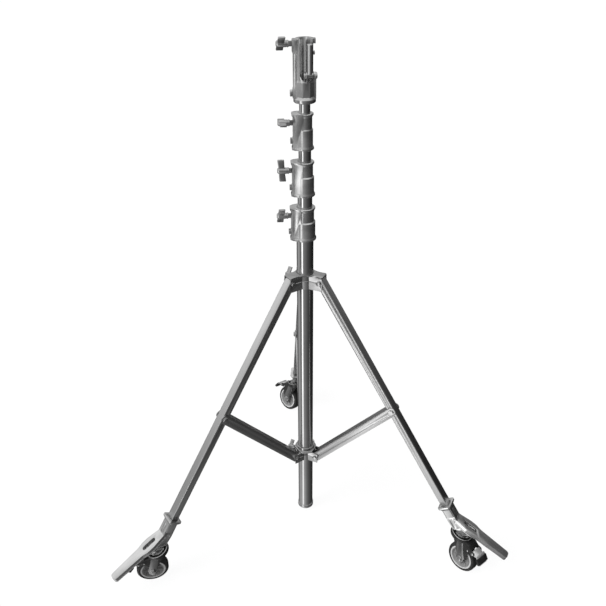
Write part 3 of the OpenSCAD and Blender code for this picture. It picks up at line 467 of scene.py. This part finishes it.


# fasteners: the CAD heads and nuts with rounded corners, and washers under those of the collar bolts, axles and
# brace pins
washerLook = {"thick": 1.4, "grow": 1.32, "round": 0.5}


def washerInto(bm, place, seat, flats, hole):
    t, r = washerLook["thick"], flats / 2 * washerLook["grow"]
    e = washerLook["round"]
    turnInto(bm, [(hole, seat), (r - e, seat), (r, seat + e), (r, seat + t - e), (r - e, seat + t),
                  (hole, seat + t)], place, steps=40, closed=True)


def fastener(nodeName, washers):
    bm = softSolid(nodeName, width=0.5, crease=20)
    for place, seat, flats, hole in washers:
        washerInto(bm, place, seat, flats, hole)
    putPiece(nodeName + ".skin", bm, bodyOf(nodeName), boltSteel, (nodeName,), 30)


# head and nut heights, size over flats and shank radius of the CAD fasteners that get washers
seatLook = {"collar": {"head": 7, "flats": 16, "shank": 4},
            "axle": {"head": 6, "nut": 7, "flats": 16, "shank": 5},
            "brace": {"head": 5, "nut": 6, "flats": 14, "shank": 4}}


def washerPair(nodeName, place, seat):
    low, high = reach(nodeName, place, 2)
    starts = (high - seat["head"], low + seat["nut"] - washerLook["thick"])
    return [(place, start, seat["flats"], seat["shank"]) for start in starts]


for k in (1, 2, 3):
    name = "collar_%d_bolt" % k
    low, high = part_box(name)
    place = aim((0, 0, (low.z + high.z) / 2), (-1, 0, 0), (0, 0, 1))
    seat = seatLook["collar"]
    fastener(name, [(place, reach(name, place, 2)[1] - seat["head"], seat["flats"], seat["shank"])])
for name in ("head_bolts", "upper_hinge_bolts", "lower_hub_bolts"):
    fastener(name, [])
for side in sides:
    fastener("axle_" + side, washerPair("axle_" + side, wheelFrame(side), seatLook["axle"]))
    knee = Vector(joints["brace_%s_fold" % side]["pos_m"])
    along = legFrame(side).to_3x3() @ Vector((1, 0, 0))
    across = aim(knee, Vector(joints["leg_%s_fold" % side]["axis"]), along)
    fastener("brace_pin_" + side, washerPair("brace_pin_" + side, across, seatLook["brace"]))
    fastener("kingpin_" + side, [])
print("roller stand: fasteners ready")


# winged T handle: threaded neck, stepped barrel with a dimpled end, two leaning wings
gripLook = {"barrel": 9, "length": 33, "neck": 8, "span": 63, "wide": 19, "thick": 8, "lean": 2.5,
            "tipThin": 0.72, "edge": 2.4, "threads": 6, "thread": 0.9, "gap": 0.3, "screw": 6,
            "chamfer": 0.8, "neckIn": 1.5, "runOut": 0.2, "root": 1.6, "sink": 3, "sag": 0.12}
# the barrel: each pair is the depth below its radius and the height up from its root or down from its end;
# heights of groove and taper are shares of its length, and radii of the dimple are shares of its radius
barrelLook = {"shoulder": ((1.2, 0), (0, 1)), "groove": ((0, 0.14), (0.8, 0.16), (0.8, 0.2), (0, 0.22)),
              "taper": ((0, 0.22), (0.9, 0.1)), "crown": ((2.6, 0.6), (4.2, 0)),
              "dimple": ((0.42, 0), (0.3, 1.2), (0, 1.8))}
spins = {"handle_3": 145, "handle_2": 0, "handle_1": 90, "head_handle": 128}


def threadProfile(r, start, end, turns):
    step = (end - start) / turns
    pts = []
    for k in range(turns):
        pts += [(r - gripLook["thread"], start + step * k), (r, start + step * (k + 0.5))]
    return pts + [(r - gripLook["thread"], end)]


def barrelProfile(b, length, end):
    look = barrelLook
    root = end - length
    pts = [(b - deep, root + up) for deep, up in look["shoulder"]]
    pts += [(b - deep, root + share * length) for deep, share in look["groove"]]
    pts += [(b - deep, end - share * length) for deep, share in look["taper"]]
    pts += [(b - deep, end - down) for deep, down in look["crown"]]
    return pts + [(b * share, end - down) for share, down in look["dimple"]]


def gripInto(bm, place, tip, end, screw, size):
    g = gripLook
    b, length = g["barrel"] * size, g["length"] * size
    root = end - length
    start = root - g["neck"] * size + g["gap"]
    c, runOut = g["chamfer"], g["runOut"]
    stem = [(0, tip), (screw - c, tip), (screw, tip + c), (screw, start)]
    neck = threadProfile(b - g["neckIn"], start + runOut, root - runOut, g["threads"])
    turnInto(bm, stem + neck + barrelProfile(b, length, end), place, steps=56)
    wide = g["wide"] * size
    middle = root + (g["length"] - g["sink"]) * size - wide / 2

    def lean(made, side):
        tipX = g["span"] / 2 * size * mm
        for v in made.verts:
            out = abs(v.co.x) / tipX
            v.co.y *= 1.0 + (g["tipThin"] - 1.0) * out
            v.co.z += side * g["lean"] * size * mm * out
            v.co.z -= (v.co.z - middle * mm) * g["sag"] * (1 - out)

    wing = (g["span"] / 2 * size - g["sink"], (g["thick"] + g["root"]) * size, wide)
    out = g["span"] / 4 * size + g["sink"] / 2
    for side in (-1, 1):
        blockInto(bm, wing, (side * out, 0, middle), g["edge"] * size, place, 4,
                  lambda made, s=side: lean(made, s))


def makeGrip(nodeName, place, screw=gripLook["screw"], size=1.0):
    bm = bmesh.new()
    tip, end = reach(nodeName, place, 2)
    gripInto(bm, place, tip, end, screw, size)
    putPiece(nodeName + ".grip", bm, bodyOf(nodeName), handleMetal, (nodeName,), 34)


for name, spin in spins.items():
    turn = Vector((0, sin(radians(spin)), cos(radians(spin))))
    z = joints[name + "_turn"]["pos_m"][2]
    makeGrip(name, aim((0, 0, z), (-1, 0, 0), turn))

# hub knobs: the same handle, smaller
knobLook = {"azimuth": radians(150), "spin": radians(35), "size": 0.72, "screw": 4.5}
out = Vector((cos(knobLook["azimuth"]), sin(knobLook["azimuth"]), 0))
tangent = Vector((-out.y, out.x, 0))
turn = tangent * sin(knobLook["spin"]) - Vector((0, 0, 1)) * cos(knobLook["spin"])
for name, joint in (("upper_hub_knob", "upper_knob_turn"), ("lower_hub_knob", "lower_knob_turn")):
    z = joints[joint]["pos_m"][2]
    makeGrip(name, aim((0, 0, z), out, turn), knobLook["screw"], knobLook["size"])
print("roller stand: lock handles ready")


# wheel: grooved tyre on a ribbed core with a bright band beside the tyre
wheelLook = {"shoulder": 9, "groove": 1.1, "grooveWide": 1.6, "grooves": (-6.5, 0, 6.5), "ribs": 9,
             "rib": (21, 2.4, 5), "ribAt": 22, "ribDeep": 7.0, "bore": 5.1, "boss": 12,
             "bead": ((0, 1.5), (1.2, 0), (2.2, 0), (2.6, 0.5), (3.2, 0.5), (3.6, 0)),
             "dish": ((13, 6), (15, 8.5), (29, 7.5), (31, 6), (33.5, 2.2), (34.5, 1.6)),
             "band": ((35.2, 1.7), (35.6, 0.9), (37.6, 0.7), (39.6, 0.9), (40, 1.7))}


def tyreProfile(core, wheel, half):
    w = wheelLook
    s = w["shoulder"]
    right = [(core + out, half - deep) for out, deep in w["bead"]]
    arc = [(wheel - s + s * sin(radians(a)), half - s + s * cos(radians(a))) for a in range(10, 91, 10)]
    flat = []
    for z in reversed(w["grooves"]):
        g = w["grooveWide"] / 2
        deep = wheel - w["groove"]
        flat += [(wheel, z + g), (deep, z + g * 0.5), (deep, z - g * 0.5), (wheel, z - g)]
    return right + arc + flat + [(r, -z) for r, z in reversed(right + arc)]


def makeWheel(side):
    w = wheelLook
    place = wheelFrame(side)
    half = reach("tyre_" + side, place, 2)[1]
    wheel = reach("tyre_" + side, place, 0)[1]
    core = reach("wheel_core_" + side, place, 0)[1]
    hub = reach("wheel_core_" + side, place, 2)[1]
    bm = bmesh.new()
    turnInto(bm, tyreProfile(core, wheel, half), place, steps=96, closed=True)
    putPiece("tyre_%s.tread" % side, bm, "wheel_" + side, rubber, ("tyre_" + side,), 40)
    bm = bmesh.new()
    face = [(w["bore"], hub), (w["boss"] - 1.5, hub), (w["boss"], hub - 1)]
    face += [(r, half - deep) for r, deep in w["dish"]] + [(core, half - w["dish"][-1][1])]
    turnInto(bm, face + [(r, -z) for r, z in reversed(face)], place, steps=96, closed=True)
    for k in range(w["ribs"]):
        turn = place @ Matrix.Rotation(2 * pi * k / w["ribs"], 4, "Z")
        for s in (-1, 1):
            blockInto(bm, w["rib"], (w["ribAt"], 0, s * (half - w["ribDeep"])), 0.7, turn, 2)
    name = "wheel_core_" + side
    putPiece(name + ".ribbed", bm, "wheel_" + side, coreNylon, (name,), 36)
    bm = bmesh.new()
    for s in (-1, 1):
        band = [(r, s * (half - deep)) for r, deep in w["band"]]
        turnInto(bm, band, place, steps=96, closed=True)
    putPiece("wheel_band_" + side, bm, "wheel_" + side, bandNylon, (), 40)


# a flat plate from (x, z) corners, its middle at y, its edges rounded
def plateInto(bm, corners, y, thick, round_, place):
    made = bmesh.new()
    face = made.faces.new([made.verts.new((x * mm, (y - thick / 2) * mm, z * mm)) for x, z in corners])
    grown = bmesh.ops.extrude_face_region(made, geom=[face])
    lifted = [v for v in grown["geom"] if isinstance(v, bmesh.types.BMVert)]
    bmesh.ops.translate(made, verts=lifted, vec=(0, thick * mm, 0))
    bmesh.ops.recalc_face_normals(made, faces=made.faces)
    roundEdges(made, made.edges[:], round_)
    addMesh(bm, made, place)


# caster housing: rounded fork, a steel arm on each cheek, plated bead, rivets and the brake pedal
casterLook = {"bead": 1.9, "crown": 36, "beadDrop": 0.9, "rivets": ((52, -20, 3.2), (70, -17, 4.4)),
              "rivetFoot": 19, "rivetTop": 24.7, "dome": ((1, 1.9), (0.9, 0.9), (0.55, 0.2), (0, 0)),
              "cheek": 21.5, "armThick": 1.2, "armSunk": 0.1,
              "arm": ((3, -10), (27, -10), (36, -30), (56, -62), (57, -78), (50, -88), (37, -89), (30, -81),
                      (27, -66), (12, -38)),
              "padAt": (98.5, -25.5), "padSlope": (22, -19), "pad": (21, 50, 8), "ribs": 6, "rib": 1.2,
              "tip": (3.4, 44, 4.5), "tipAt": (0.8, -1.5), "heel": (9, 44, 3), "heelAt": (3.5, 0.4)}


def makeCaster(side):
    c = casterLook
    place = forkFrame(side)
    turn = place.to_3x3()
    softened("fork_" + side, paint, width=0.6)
    top = reach("fork_" + side, place, 2)[1]
    b = c["bead"]
    bm = bmesh.new()
    high = top - c["beadDrop"]
    ring = [(c["crown"] - b + b * cos(a), high + b * sin(a)) for a in map(radians, range(0, 360, 30))]
    turnInto(bm, ring, place, steps=96, closed=True)
    for x, z, r in c["rivets"]:
        foot = c["rivetFoot"]
        dome = [(0, foot), (r, foot)] + [(r * share, c["rivetTop"] - down) for share, down in c["dome"]]
        for s in (-1, 1):
            at = place @ Vector((x * mm, 0, z * mm))
            turnInto(bm, dome, aim(at, turn @ Vector((0, s, 0)), turn @ Vector((1, 0, 0))), steps=24)
    putPiece("caster_trim_" + side, bm, "fork_" + side, boltSteel, (), 40)
    bm = bmesh.new()
    out = c["cheek"] + c["armThick"] / 2 - c["armSunk"]
    for s in (-1, 1):
        plateInto(bm, c["arm"], s * out, c["armThick"], 0.4, place)
    putPiece("fork_arm_" + side, bm, "fork_" + side, armSteel, (), 35)
    softened("brake_pedal_" + side, pedalSteel, width=0.6)
    slope = Vector((c["padSlope"][0], 0, c["padSlope"][1])).normalized()
    at = place @ Vector((c["padAt"][0] * mm, 0, c["padAt"][1] * mm))
    tread = aim(at, turn @ slope.cross(Vector((0, 1, 0))), turn @ slope)
    length, wide, thick = c["pad"]
    bm = bmesh.new()
    blockInto(bm, c["pad"], (0, 0, 0), 1.4, tread)
    step = length / c["ribs"]
    for k in range(c["ribs"]):
        x = (k + 0.5) * step - length / 2
        blockInto(bm, (step * 0.5, wide - 4, thick + 2 * c["rib"]), (x, 0, 0), 0.5, tread, 2)
    putPiece("pedal_pad_" + side, bm, "pedal_" + side, rubber, (), 35)
    bm = bmesh.new()
    blockInto(bm, c["tip"], (length / 2 + c["tipAt"][0], 0, c["tipAt"][1]), 0.8, tread)
    blockInto(bm, c["heel"], (-length / 2 - c["heelAt"][0], 0, c["heelAt"][1]), 1.0, tread)
    putPiece("pedal_plate_" + side, bm, "pedal_" + side, pedalSteel, (), 35)


for side in sides:
    makeWheel(side)
    makeCaster(side)
print("roller stand: casters ready")


# 1 for the rays that see the stage as the photograph shows it, 0 for those that light the part
def directRays(t, rays):
    return mathNode(t, "MAXIMUM", rays.outputs["Is Camera Ray"], rays.outputs["Is Transmission Ray"])


stageLook = {"radius": 60.0, "floorZ": -0.0124, "paper": 0.4, "lift": 0.73, "clear": 0.75}


# pale paper: lit by the lamps, lifted to white for the camera, and sheer there, so that the feet still show
# where folded legs reach below it; the mirror finishes see the studio instead
def makeFloor(look):
    bm = bmesh.new()
    bmesh.ops.create_circle(bm, cap_ends=True, segments=96, radius=look["radius"])
    bmesh.ops.translate(bm, verts=bm.verts, vec=(0, 0, look["floorZ"]))
    mesh = meshFrom("floor", bm)
    floor = addObject("floor", mesh)
    m, t, s, _ = startMaterial("floorPaper")
    s.inputs["Base Color"].default_value = grey(look["paper"])
    s.inputs["Roughness"].default_value = 1.0
    s.inputs["Specular IOR Level"].default_value = 0.0
    rays = node(t, "LightPath")
    s.inputs["Emission Color"].default_value = grey(1)
    t.links.new(mathNode(t, "MULTIPLY", directRays(t, rays), look["lift"]), s.inputs["Emission Strength"])
    clear = node(t, "BsdfTransparent").outputs[0]
    through = mathNode(t, "MULTIPLY", rays.outputs["Is Camera Ray"], look["clear"])
    sheer = node(t, "MixShader", {0: through, 1: s.outputs[0], 2: clear})
    t.links.new(sheer.outputs[0], t.nodes["Material Output"].inputs["Surface"])
    mesh.materials.append(m)
    floor.visible_glossy = False


makeFloor(stageLook)

# the photograph's camera, solved from the photograph in the part's own frame
cameraLook = {"place": (-0.12639, -1.94059, 1.97213), "pitch": 0.525, "heading": -radians(4.0),
              "lens": 43.359, "shiftX": -0.00857, "sensor": 36, "far": 200}
camera = addObject("camera", bpy.data.cameras.new("camera"))
camera.location = cameraLook["place"]
camera.rotation_euler = (pi / 2 - cameraLook["pitch"], 0, cameraLook["heading"])
camera.data.sensor_width = cameraLook["sensor"]
camera.data.lens = cameraLook["lens"]
camera.data.shift_x = cameraLook["shiftX"]
camera.data.clip_end = cameraLook["far"]
bpy.context.scene.camera = camera


# wide lamps for the soft light; the mirror finishes don't see them
lampLook = {"keyLight": {"azimuth": -155, "elevation": 42, "power": 2.2, "width": 30},
            "fillLight": {"azimuth": -20, "elevation": 60, "power": 0.3, "width": 80}}


def softSun(name, look):
    light = addObject(name, bpy.data.lights.new(name, "SUN"))
    light.data.energy = look["power"]
    light.data.angle = radians(look["width"])
    a, e = radians(look["azimuth"]), radians(look["elevation"])
    toward = Vector((cos(a) * cos(e), sin(a) * cos(e), sin(e)))
    light.rotation_euler = toward.to_track_quat("Z", "Y").to_euler()
    light.visible_glossy = False


for name, look in lampLook.items():
    softSun(name, look)

# what the mirror finishes see, by direction: a bright panel at the left front, dark flags to the right
# and behind; position 0 is west and the turn goes by south, east and north
lowPanels = ((0.0, 0.42), (0.03, 0.3), (0.07, 0.12), (0.097, 0.36), (0.118, 2.2), (0.142, 2.0),
             (0.165, 0.3), (0.25, 0.2), (0.33, 0.1), (0.42, 0.05), (0.52, 0.02), (0.66, 0.012),
             (0.72, 0.06), (0.76, 0.16), (0.82, 0.05), (0.92, 0.3), (0.96, 0.5))
floorPanels = ((0.0, 0.5), (0.06, 0.7), (0.12, 1.1), (0.18, 0.7), (0.26, 0.35), (0.36, 0.16), (0.5, 0.07),
               (0.66, 0.04), (0.75, 0.12), (0.88, 0.25))
highPanels = ((0.0, 0.7), (0.08, 0.75), (0.13, 1.15), (0.18, 0.75), (0.3, 0.3), (0.42, 0.1), (0.55, 0.1),
              (0.64, 0.28), (0.74, 0.6), (0.84, 0.75), (0.93, 1.1), (0.97, 0.9))
# the heights between which one set of panels gives way to the next, and the light for matt surfaces
studioLook = {"rise": (-0.2, 0.25), "steep": (-0.58, -0.8), "over": (0.55, 0.85), "overhead": 1.0,
              "matt": 0.36}


def panelRamp(t, turn, stops):
    ramp = node(t, "ValToRGB", {"Fac": turn})
    ramp.color_ramp.interpolation = "LINEAR"
    e = ramp.color_ramp.elements
    while len(e) > 1:
        e.remove(e[-1])
    e[0].position = stops[0][0]
    e[0].color = grey(stops[0][1])
    for at, value in list(stops[1:]) + [(1.0, stops[0][1])]:
        e.new(at).color = grey(value)
    return ramp.outputs["Color"]


def blend(t, height, span):
    return node(t, "MapRange", {"Value": height, "From Min": span[0], "From Max": span[1]}).outputs[0]


def makeWorld(look):
    world = bpy.data.worlds.new("studio")
    bpy.context.scene.world = world
    world.use_nodes = True
    t = world.node_tree
    out, soft = t.nodes["World Output"], t.nodes["Background"]
    coord = node(t, "TexCoord").outputs["Generated"]
    turn = node(t, "TexGradient", {"Vector": coord}, gradient_type="RADIAL").outputs["Fac"]
    height = node(t, "SeparateXYZ", {"Vector": coord}).outputs["Z"]
    steep = blend(t, height, look["steep"])
    low = mixColor(t, steep, panelRamp(t, turn, lowPanels), panelRamp(t, turn, floorPanels))
    panels = mixColor(t, blend(t, height, look["rise"]), low, panelRamp(t, turn, highPanels))
    panels = mixColor(t, blend(t, height, look["over"]), panels, look["overhead"])
    studio = node(t, "Background", {"Color": panels, "Strength": 1.0})
    soft.inputs["Color"].default_value = grey(look["matt"])
    white = node(t, "Background", {"Color": grey(1), "Strength": 1.0})
    rays = node(t, "LightPath")
    glossy = rays.outputs["Is Glossy Ray"]
    mirror = node(t, "MixShader", {0: glossy, 1: soft.outputs[0], 2: studio.outputs[0]})
    final = node(t, "MixShader", {0: directRays(t, rays), 1: mirror.outputs[0], 2: white.outputs[0]})
    t.links.new(final.outputs[0], out.inputs["Surface"])


makeWorld(studioLook)
bpy.context.scene.view_settings.view_transform = "Standard"
print("roller stand: stage ready")
